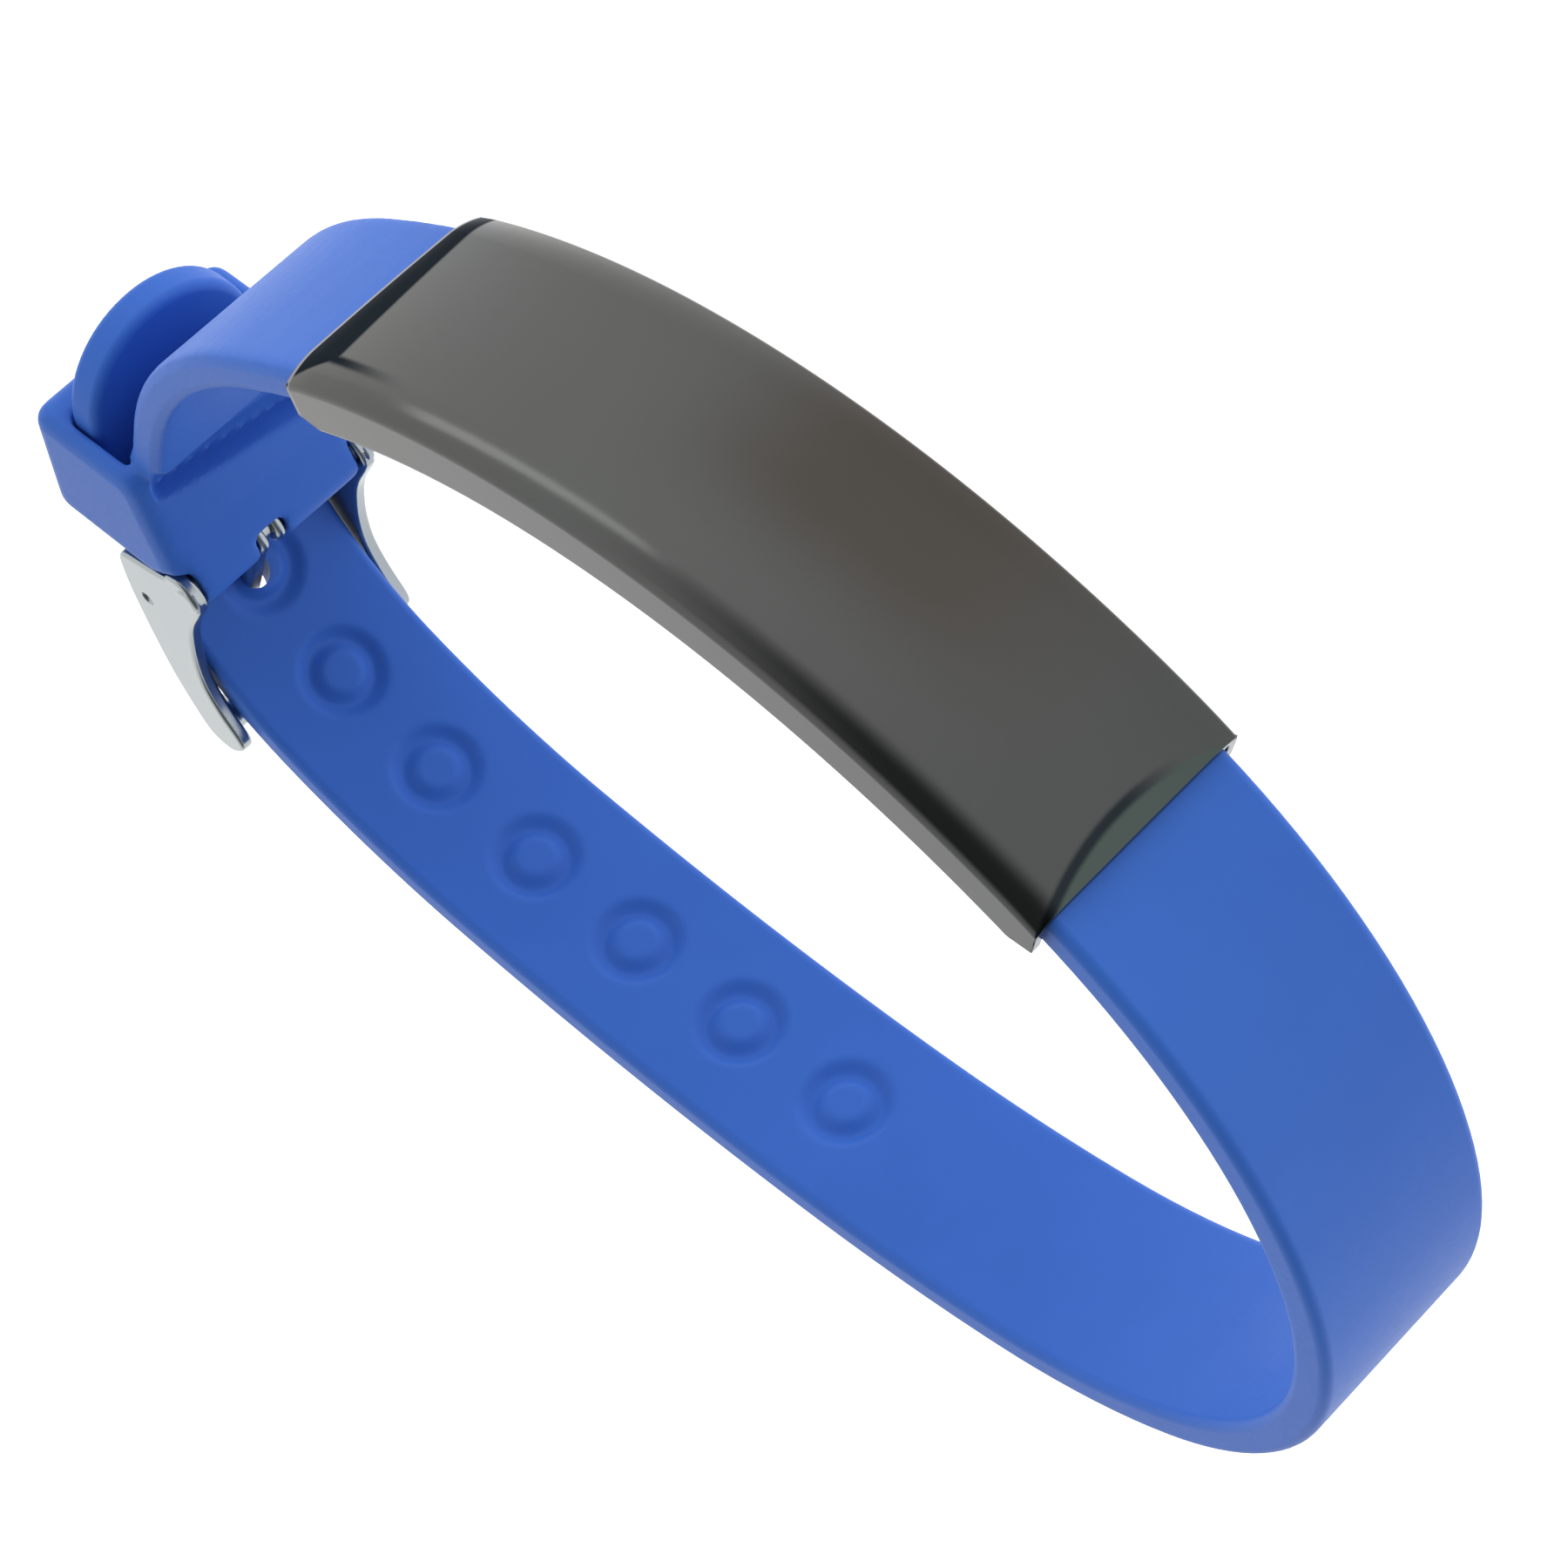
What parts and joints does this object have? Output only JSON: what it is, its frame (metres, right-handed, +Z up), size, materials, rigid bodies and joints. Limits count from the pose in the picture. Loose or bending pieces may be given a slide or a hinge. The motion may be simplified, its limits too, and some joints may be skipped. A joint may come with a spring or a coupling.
{
  "type": "silicone wristband",
  "caption": "Oval silicone wristband lying on its side, with a bare curved steel plate, ring holes, a keeper block and a steel tang buckle.",
  "frame": {"origin": "middle of the base, on the floor that the band lies on", "axes": "+X along the longest way of the oval, away from the buckle; +Y towards the middle of the steel plate; +Z up, across the strap's width"},
  "size_m": [0.0934, 0.063, 0.0144],
  "materials": {
    "blue_silicone": "satin moulded silicone",
    "dark_steel": "dark polished plating",
    "polished_steel": "polished"
  },
  "bodies": {
    "root": {"silicone_band": "blue_silicone", "id_plate": "dark_steel", "buckle_frame": "polished_steel", "buckle_tongue": "polished_steel", "spring_bar": "polished_steel"}
  },
  "joints": []
}
